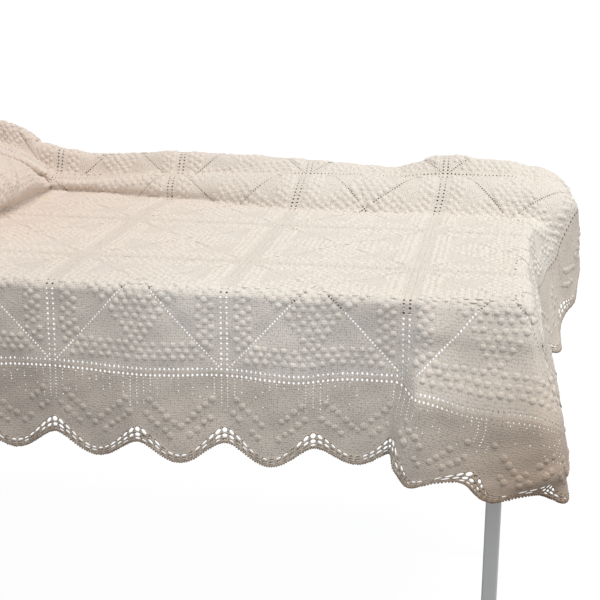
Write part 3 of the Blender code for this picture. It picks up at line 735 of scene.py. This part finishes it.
def popcorn_row(row, material):
    """The popcorns of one row of squares."""
    square = []
    for rows, pitch in ((NEAR_ROWS, NEAR_PITCH), (SEAM_ROWS, SEAM_PITCH)):
        for count, away in rows:
            for side in (np.arange(count) - (count - 1) / 2) * pitch:
                square += [(side, away), (-side, -away), (away, -side), (-away, side)]
    square = np.column_stack([square, np.full(len(square), POPCORN_LIFT)])
    middles = [(U0 + (k + 0.5) * SQUARE, V0 + (row + 0.5) * SQUARE, 0.0) for k in range(COLUMNS)]
    shape = Flat(quadrant_weave)
    places = join([square + middle for middle in middles])
    add_popcorns(shape, places, POPCORN_RADIUS, POPCORN_HEIGHT)
    return shape.piece(f"popcorns_row_{row + 1}", material)


# Border
SIDE_NAMES = ("front", "right", "back", "left")
CORNERS = ((U0, V0), (U1, V0), (U1, V1), (U0, V1))  # where each side starts
WAYS = ((1, 0), (0, 1), (-1, 0), (0, -1))  # along each side
LENGTHS = (COLUMNS * SQUARE, ROWS * SQUARE) * 2
FAN_CELLS = 36  # of the border's grid round a corner
STRAIGHT_DEPTH = 0.062  # where curved rows take over
STRAIGHT_ROWS, CURVED_ROWS = 11, 12
PINHOLE, PINHOLE_LEAST, PINHOLE_MOST = 0.0009, 0.6, 1.15  # half size, and its least and most share
PINHOLE_EVERY, FAN_PINHOLES = 3, 8  # cells between them, and their first row in a fan
PIN_SPAN, PIN_RARE = (0.012, 0.034), 0.75  # they get rarer from a cusp, by this share
PIN_DEEP, PIN_RARE_DEEP = (0.3, 1.3), 0.35  # and the same with depth
# Popcorns of half a scallop: from where scallops meet, and depth
CHEVRON = [(0.019 + 0.010 * n, 0.043 + 0.009 * n) for n in range(5)] + [(0.06875, 0.088)]
CHEVRON += [(0.013 + 0.010 * n, 0.066 + 0.0085 * n) for n in range(5)]
CHEVRON_RADIUS, CHEVRON_HEIGHT = 0.0057, 0.0019
CHEVRON_KEPT = 0.88  # share of the popcorns that stand out


def border_place(k, along, depth):
    """Flat place on the border of side k and its corner. Past the side's length, along goes round
    the corner, which is one scallop."""
    corner, way, length = np.array(CORNERS[k]), np.array(WAYS[k], dtype=float), LENGTHS[k]
    out = np.array([way[1], -way[0]])
    turn = np.clip((along - length) / SCALLOP, 0, 1) * np.pi / 2
    on_side = np.clip(along, None, length)
    on_next = np.clip(along - length - SCALLOP, 0, None)
    heading = np.cos(turn)[..., None] * out + np.sin(turn)[..., None] * way
    return corner + on_side[..., None] * way - on_next[..., None] * out + depth[..., None] * heading


def border_strip(k, material):
    """The border of side k and its corner."""
    length = LENGTHS[k]
    squares = range(round(length / SQUARE))
    lines = join([n * SQUARE + LINES[:-1] for n in squares] + [[length]])
    along = join([lines, length + SCALLOP * np.arange(1, FAN_CELLS + 1) / FAN_CELLS])
    deep = scalloped(along, *HEM)
    straight = np.linspace(EYELET_TO, STRAIGHT_DEPTH, STRAIGHT_ROWS + 1)
    top = join([[0.0, EYELET_FROM], straight])
    share = np.arange(1, CURVED_ROWS + 1) / CURVED_ROWS
    lower = STRAIGHT_DEPTH + share[None, :] * (deep[:, None] - STRAIGHT_DEPTH)
    depth = join([np.repeat(top[None, :], len(along), axis=0), lower], axis=1)
    where = border_place(k, along[:, None], depth)
    height = random.normal(0.0, ROUGH, depth.shape)
    i, j = np.meshgrid(np.arange(len(along) - 1), np.arange(depth.shape[1] - 1), indexing="ij")
    on_side = i < len(lines) - 1
    eyelets = on_side & (j == 1) & (i % PER_SQUARE % 2 == 1)
    pinholes = (j > 1) & (j < STRAIGHT_ROWS + 1) & (i % PINHOLE_EVERY == 1)
    pinholes &= on_side | (j > FAN_PINHOLES)
    beside_cusp = np.abs((along[:-1] + SCALLOP / 2) % SCALLOP - SCALLOP / 2)[:, None]
    likely = 1 - PIN_RARE * eased(beside_cusp, PIN_SPAN)
    likely = likely - PIN_RARE_DEEP * eased(j / STRAIGHT_ROWS, PIN_DEEP)
    pinholes &= random.uniform(0, 1, pinholes.shape) < likely
    sizes = PINHOLE * random.uniform(PINHOLE_LEAST, PINHOLE_MOST, eyelets.shape)
    radii = np.repeat(sizes[..., None], 2, axis=-1)
    kept = kept_open(where[..., 0], where[..., 1])[:-1, :-1]
    radii[eyelets] = kept[eyelets][:, None] * SEAM_EYELET[::-1]
    points = join([where, height[..., None]], axis=-1)

    def strip_weave(corners):
        away = corners[..., :2] - CORNERS[k]
        out = np.array([WAYS[k][1], -WAYS[k][0]])
        return np.stack([away @ WAYS[k], away @ out], axis=-1)

    shape = Flat(strip_weave)
    grid_with_holes(shape, points, eyelets | pinholes, radii, 0.0)
    return shape.piece(f"border_{SIDE_NAMES[k]}", material)


def border_popcorns(k, material):
    """Popcorns in chevrons on side k and its corner."""
    along, depth = [], []
    for n in range(round(LENGTHS[k] / SCALLOP) + 1):
        for away, deep in CHEVRON:
            for place in ((away, SCALLOP - away) if away < SCALLOP / 2 else (away,)):
                along.append(n * SCALLOP + place)
                depth.append(deep)
    where = border_place(k, np.array(along), np.array(depth))
    where = where[random.uniform(0, 1, len(where)) < CHEVRON_KEPT]
    places = np.column_stack([where, np.zeros(len(where))])
    shape = Flat(flat_weave)
    add_popcorns(shape, places, CHEVRON_RADIUS, CHEVRON_HEIGHT)
    return shape.piece(f"border_popcorns_{SIDE_NAMES[k]}", material)


# Lace
LACE_CELLS = 13  # openings in each row of a scallop
LACE_LINES = (0.0, 0.40, 0.71, 0.90, 1.0)  # the cords, as shares of the lace's depth
OPEN_AT_CUSP = np.array([1.0, 1.0, 0.85, 0.0])  # share of each row's cells that are open
OPEN_AT_TIP = np.array([0.70, 0.20, 0.0, 0.0])
OPEN_LEAST, FILLED = 0.8, 0.12  # least size of an opening, and size in a filled cell
LEAST_ACROSS, LEAST_DEEP, TIP_SHALLOW = 0.30, 0.16, 0.15  # least shares, and the loss at a tip
LACE_HALF, CORD = 0.0010, 0.0011  # half thickness and half width of the cords
LACE_LAP = 0.0010  # over the border's hem
LACE_ROUND = 1 / math.cos(math.radians(22.5))
PICOTS = 37  # in each scallop
PICOT, PICOT_SPREAD, PICOT_SIDES = 0.0021, 0.08, 6
PICOT_SUNK = 0.8  # from the edge to their middle, in shares of their radius


def lace_strip(k, material):
    """Lace of side k and its corner: cords round rows of openings."""
    scallops = round(LENGTHS[k] / SCALLOP) + 1
    pitch = SCALLOP / LACE_CELLS
    along = (np.arange(scallops * LACE_CELLS + 1) + 0.5) * pitch
    inner = scalloped(along, *HEM) - LACE_LAP
    outer = scalloped(along, *EDGE) - PICOT
    depth = inner[:, None] + np.array(LACE_LINES) * (outer - inner)[:, None]
    where = border_place(k, along[:, None], depth)
    rows, columns = depth.shape
    count = rows * columns
    corner = corners_of(columns, *np.indices((rows - 1, columns - 1)).reshape(2, -1))
    flat = where.reshape(-1, 2)
    middle, across, deep = cell_axes(flat, corner)
    across, deep = across / 2, deep / 2
    half_across, half_deep = np.linalg.norm(across, axis=1), np.linalg.norm(deep, axis=1)
    area = np.abs(across[:, 0] * deep[:, 1] - across[:, 1] * deep[:, 0])
    spread = CORD * half_across * half_deep / area
    at_tip = np.abs(np.sin(np.pi * (along[:-1] + pitch / 2) / SCALLOP))[:, None]
    chance = OPEN_AT_CUSP + (OPEN_AT_TIP - OPEN_AT_CUSP) * at_tip
    left_open = random.uniform(0, 1, chance.shape) < chance
    size = np.where(left_open, random.uniform(OPEN_LEAST, 1.0, chance.shape), FILLED).ravel()
    shallow = 1 - TIP_SHALLOW * np.repeat(at_tip, chance.shape[1])
    open_across = np.maximum(1 - spread / half_across, LEAST_ACROSS) * size * LACE_ROUND
    open_deep = np.maximum(1 - spread / half_deep, LEAST_DEEP) * size * shallow * LACE_ROUND
    ring = eight_round(middle, across * open_across[:, None], deep * open_deep[:, None])
    ring = ring.reshape(-1, 2)
    height = np.repeat((LACE_HALF, -LACE_HALF, 0.0), (count, count, len(ring)))
    points = np.column_stack([join([flat, flat, ring]), height])
    hole = 2 * count + np.arange(len(ring)).reshape(-1, 8)
    top_tris, top_quads = round_hole(corner, hole)
    low_tris, low_quads = round_hole(corner + count, hole)
    quads = [top_quads, low_quads[:, ::-1]]
    at = np.arange(count).reshape(rows, columns)
    for line in (at[:, 0], at[::-1, -1], at[0, ::-1], at[-1, :]):
        quads.append(np.stack([line[:-1], line[:-1] + count, line[1:] + count, line[1:]], axis=1))
    shape = Flat(flat_weave)
    shape.add(points, [join([top_tris, low_tris[:, ::-1]]), join(quads)])
    return shape.piece(f"lace_{SIDE_NAMES[k]}", material)


def picot_strip(k, material):
    """Small round knots along the lace of side k and its corner."""
    scallops = round(LENGTHS[k] / SCALLOP) + 1
    along = ((np.arange(scallops * PICOTS) + 0.5) / PICOTS + 0.5 / LACE_CELLS) * SCALLOP
    spots = border_place(k, along, scalloped(along, *EDGE) - PICOT * PICOT_SUNK)
    size = PICOT * random.normal(1.0, PICOT_SPREAD, len(spots))
    angle = 2 * np.pi * np.arange(PICOT_SIDES) / PICOT_SIDES
    out = math.sqrt(0.75)
    rings = [np.column_stack([out * np.cos(angle), out * np.sin(angle), 0 * angle + level])
             for level in (-0.5, 0.5)]
    ball = join([*rings, [(0.0, 0.0, 1.0), (0.0, 0.0, -1.0)]])
    places = np.column_stack([spots, np.zeros(len(spots))])
    shape = Flat(flat_weave)
    shape.stand(places, ball * size[:, None, None], *round_faces(PICOT_SIDES, 2, True))
    return shape.piece(f"picots_{SIDE_NAMES[k]}", material)


# Materials
class Nodes:
    """Short hand for building one material's nodes."""

    def __init__(self, name):
        self.material = bpy.data.materials.new(name)
        self.material.use_nodes = True
        self.tree = self.material.node_tree
        self.shader = self.tree.nodes["Principled BSDF"]

    def put(self, socket, value):
        """Set or link an input."""
        if isinstance(value, bpy.types.NodeSocket):
            self.tree.links.new(value, socket)
        else:
            socket.default_value = value

    def add(self, kind, inputs=None, **settings):
        """A node."""
        node = self.tree.nodes.new("ShaderNode" + kind)
        for name, value in settings.items():
            setattr(node, name, value)
        for name, value in (inputs or {}).items():
            self.put(node.inputs[name], value)
        return node

    def noise(self, place, scale, detail, roughness=0.6, **inputs):
        """Noise at a place."""
        inputs.update(Vector=place, Scale=scale, Detail=detail, Roughness=roughness)
        return self.add("TexNoise", inputs).outputs["Fac"]

    def sum(self, kind, operation, first, second):
        """A sum of two numbers or two places."""
        return self.add(kind, {0: first, 1: second}, operation=operation)

    def stretched(self, place, by):
        """A place stretched along its axes."""
        return self.sum("VectorMath", "MULTIPLY", place, by).outputs[0]

    def ramp(self, fac, stops):
        """Grey between two stops, each a place and a grey."""
        node = self.add("ValToRGB", {"Fac": fac})
        for element, (place, shade) in zip(node.color_ramp.elements, stops):
            element.position = place
            element.color = (shade, shade, shade, 1.0)
        return node.outputs["Color"]

    def mix(self, fac, first, second, blend="MIX"):
        """Mix of two colours."""
        node = self.add("Mix", data_type="RGBA", blend_type=blend)
        for k, value in ((0, fac), (6, first), (7, second)):
            self.put(node.inputs[k], (*value, 1.0) if isinstance(value, tuple) else value)
        return node.outputs[2]

    def surface(self, colour, height, strength, distance, roughness):
        """The finished material."""
        self.put(self.shader.inputs["Base Color"], colour)
        swell = self.add("Bump", {"Height": height, "Strength": strength, "Distance": distance})
        self.put(self.shader.inputs["Normal"], swell.outputs[0])
        self.shader.inputs["Roughness"].default_value = roughness
        return self.material


STITCH_WIDE, STITCH_TALL, STITCH_DEEP = 0.0031, 0.0038, 0.0006
STITCH_UNEVEN = 0.55
# Stops of ramps
# Painted shade in the gaps between stitches: where it starts and where it is full
STITCH_GAP_SHADE = ((0.44, 0.0), (0.68, 1.0))
YELLOWED = ((0.38, 0.0), (0.66, 1.0))
FLECKED = ((0.35, 0.90), (0.65, 1.0))
FLECK = (0.93, 0.92, 0.90)
# Where the cotton is darker, partly as painted shade: place from the table's corner, reach of the
# whole tone, end, colour
PAINTED_SHADE_AND_TONES = (
    # browner towards the lower right corner of the cloth
    ((0.10, -0.17, -0.34), 0.08, 0.36, (0.72, 0.61, 0.53)),
    # painted shade, darker and warmer, over the left end of the top
    ((-1.15, 0.45, 0.05), 0.10, 0.85, (0.93, 0.86, 0.83)),
    # painted shade, greyer, on the lower left of the front drop
    ((-0.72, -0.06, -0.27), 0.10, 0.42, (0.86, 0.84, 0.825)),
    # a little greyer near the right front corner, part way down
    ((-0.03, -0.08, -0.09), 0.05, 0.17, (0.90, 0.89, 0.88)),
)


def cotton(name, colour, gap, yellowed, gap_shade_share):
    """Crocheted cotton: stitches with small gaps, the gaps painted darker as shade, with painted
    shade and darker tones at listed places.
    """
    n = Nodes(name)
    weave = n.add("UVMap", uv_map="weave").outputs["UV"]
    scaled = n.stretched(weave, (1 / STITCH_WIDE, 1 / STITCH_TALL, 0.0))
    stitch = n.add("TexVoronoi", {"Vector": scaled, "Scale": 1.0, "Randomness": STITCH_UNEVEN},
                   voronoi_dimensions="2D", feature="F1").outputs["Distance"]
    place = n.add("TexCoord").outputs["Object"]
    patches = n.noise(place, 4.5, 4.0)
    flecks = n.noise(place, 330.0, 2.0)
    body = n.mix(n.ramp(patches, YELLOWED), colour, yellowed)
    body = n.mix(1.0, body, n.mix(n.ramp(flecks, FLECKED), FLECK, (1.0, 1.0, 1.0)), "MULTIPLY")
    # Painted shade and darker tones at each listed place
    for middle, whole, end, tone in PAINTED_SHADE_AND_TONES:
        spot = tuple(TABLE_CORNER + middle)
        away = n.sum("VectorMath", "DISTANCE", place, spot).outputs["Value"]
        share = n.add("MapRange", {0: away, 1: whole, 2: end, 3: 1.0, 4: 0.0},
                      interpolation_type="SMOOTHSTEP").outputs[0]
        body = n.mix(share, body, n.mix(1.0, body, tone, "MULTIPLY"))
    # Painted shade in the gaps between stitches
    depth = n.sum("Math", "MULTIPLY", n.ramp(stitch, STITCH_GAP_SHADE), gap_shade_share).outputs[0]
    fluff = n.sum("Math", "MULTIPLY", flecks, 0.5).outputs[0]
    height = n.sum("Math", "SUBTRACT", fluff, stitch).outputs[0]
    n.shader.inputs["Specular IOR Level"].default_value = 0.25
    return n.surface(n.mix(depth, body, gap), height, 1.0, STITCH_DEEP, 0.92)


def streaked(name, stretch, noise, stops, colours, bump, distortion=0.0):
    """Brushed paint or bare wood."""
    n = Nodes(name)
    place = n.stretched(n.add("TexCoord").outputs["Object"], stretch)
    streaks = n.noise(place, *noise, Distortion=distortion)
    return n.surface(n.mix(n.ramp(streaks, stops), *colours), streaks, *bump)


def floor_white():
    """The floor: nearly all white to the camera, and darker where it lights the cloth."""
    n = Nodes("studio_floor")
    seen = n.add("LightPath").outputs["Is Camera Ray"]
    n.put(n.shader.inputs["Base Color"], n.mix(seen, FLOOR, (0.93, 0.93, 0.93)))
    n.shader.inputs["Roughness"].default_value = 0.95
    n.shader.inputs["Specular IOR Level"].default_value = 0.0
    white = n.add("Emission", {"Color": (1.0, 1.0, 1.0, 1.0), "Strength": WHITE})
    share = n.sum("Math", "MULTIPLY", seen, FLOOR_SEEN)
    both = n.add("MixShader", {0: share.outputs[0], 1: n.shader.outputs[0], 2: white.outputs[0]})
    n.put(n.tree.nodes["Material Output"].inputs["Surface"], both.outputs[0])
    return n.material


# Making
SQUARES, POPCORNS, BORDER, LACE, KNOTS = (cotton("crochet_" + name, *looks) for name, *looks in (
    # colour, the painted shade colour of the gaps, the yellowed colour, and how much of the gaps'
    # painted shade shows
    ("squares", (0.84, 0.78, 0.71), (0.46, 0.40, 0.34), (0.83, 0.76, 0.68), 0.60),
    ("popcorns", (0.85, 0.79, 0.72), (0.54, 0.47, 0.40), (0.84, 0.775, 0.70), 0.34),
    # Darker than the squares partly as painted shade of the lower drop, and partly a warmer tone of
    # its own
    ("border", (0.745, 0.67, 0.595), (0.37, 0.31, 0.26), (0.72, 0.64, 0.56), 0.58),
    ("lace", (0.64, 0.565, 0.49), (0.30, 0.24, 0.19), (0.61, 0.53, 0.45), 0.45),
    ("picots", (0.42, 0.34, 0.27), (0.20, 0.15, 0.11), (0.36, 0.28, 0.21), 0.45),
))

square_rows = [field_row(row, SQUARES) for row in range(ROWS)]
popcorn_rows = [popcorn_row(row, POPCORNS) for row in range(ROWS)]
borders = [border_strip(k, BORDER) for k in range(4)]
chevrons = [border_popcorns(k, BORDER) for k in range(4)]
laces = [lace_strip(k, LACE) for k in range(4)]
picots = [picot_strip(k, KNOTS) for k in range(4)]


for piece, popcorns in zip(square_rows, popcorn_rows):
    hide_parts("field_of_squares")
for k, length in enumerate(LENGTHS):
    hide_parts("scalloped_border")
    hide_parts("lace_edging")

pine = streaked("pine_board", (1.2, 14.0, 14.0), (2.2, 6.0, 0.55), ((0.35, 0.0), (0.65, 1.0)),
                ((0.30, 0.17, 0.08), (0.46, 0.29, 0.15)), (0.3, 0.0005, 0.6), distortion=0.6)
paint = streaked("white_paint", (60.0, 60.0, 6.0), (2.0, 5.0), ((0.3, 0.0), (0.7, 1.0)),
                 ((0.86, 0.855, 0.84), (0.90, 0.895, 0.88)), (0.4, 0.0006, 0.45))
for name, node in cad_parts.items():
    if name.startswith("table_"):
        node.data.materials.clear()
        node.data.materials.append(pine if name == "table_board" else paint)

# Studio
FLOOR_HALF = 60.0
CAMERA = (-0.026, -1.669, 0.492)  # from the table's corner
CAMERA_DOWN, CAMERA_TURN = 16.56, 10.17  # degrees
LENS, SENSOR = 71.2, 36.0  # millimetres
SUN, SUN_WIDE = 2.12, 40  # strength, and width in degrees
SUN_FRONT, SUN_RIGHT = 11, 14  # its lean, in degrees
SUN_COLOUR, SKY_COLOUR = (1.0, 0.94, 0.865), (0.88, 0.955, 1.05, 1.0)
SKY = 0.44
LAMPS = (
    # name, place and aim from the table's corner, size, watts
    ("front", (-0.42, -0.62, -0.02), (-0.42, 0.0, -0.02), 0.20, 0.75),
    ("right", (1.60, 0.30, 0.40), (0.0, 0.50, -0.05), 0.50, 6.0),
)
LAMP_COLOUR = (0.86, 0.94, 1.0)
WHITE = 1.04  # of the backdrop as seen
FLOOR_SEEN = 0.92  # share of plain white in the floor's look
FLOOR = (0.24, 0.225, 0.21)  # as it lights the cloth


def backdrop():
    """An even sky that lights the cloth, and plain white to the camera."""
    world = bpy.data.worlds.new("studio")
    bpy.context.scene.world = world
    world.use_nodes = True
    tree = world.node_tree
    sky = tree.nodes["Background"]
    white = tree.nodes.new("ShaderNodeBackground")
    for node, colour, strength in ((sky, SKY_COLOUR, SKY), (white, (1.0, 1.0, 1.0, 1.0), WHITE)):
        node.inputs["Color"].default_value = colour
        node.inputs["Strength"].default_value = strength
    seen = tree.nodes.new("ShaderNodeLightPath").outputs["Is Camera Ray"]
    both = tree.nodes.new("ShaderNodeMixShader")
    for socket, value in zip(both.inputs, (seen, sky.outputs[0], white.outputs[0])):
        tree.links.new(value, socket)
    tree.links.new(both.outputs[0], tree.nodes["World Output"].inputs["Surface"])


def studio():
    """Plain floor, a broad light from above, two weak ones, and the camera."""
    mesh = bpy.data.meshes.new("floor")
    h = FLOOR_HALF
    mesh.from_pydata([(-h, -h, 0), (h, -h, 0), (h, h, 0), (-h, h, 0)], [], [(0, 1, 2, 3)])
    mesh.materials.append(floor_white())
    link("floor", mesh)
    backdrop()

    sun = bpy.data.lights.new("above", "SUN")
    sun.energy, sun.angle, sun.color = SUN, math.radians(SUN_WIDE), SUN_COLOUR
    link("above", sun).rotation_euler = (math.radians(SUN_FRONT), math.radians(SUN_RIGHT), 0)

    for name, place, aim, size, watts in LAMPS:
        lamp = bpy.data.lights.new(name, "AREA")
        lamp.size, lamp.energy, lamp.color = size, watts, LAMP_COLOUR
        light = link(name, lamp)
        light.location = TABLE_CORNER + place
        light.rotation_euler = (Vector(aim) - Vector(place)).to_track_quat("-Z", "Y").to_euler()
        light.visible_camera = False

    lens = bpy.data.cameras.new("camera")
    lens.lens, lens.sensor_width = LENS, SENSOR
    camera = link("camera", lens)
    camera.location = TABLE_CORNER + CAMERA
    camera.rotation_euler = (math.radians(90 - CAMERA_DOWN), 0, math.radians(CAMERA_TURN))
    bpy.context.scene.camera = camera
    bpy.context.scene.view_settings.view_transform = "Standard"


studio()
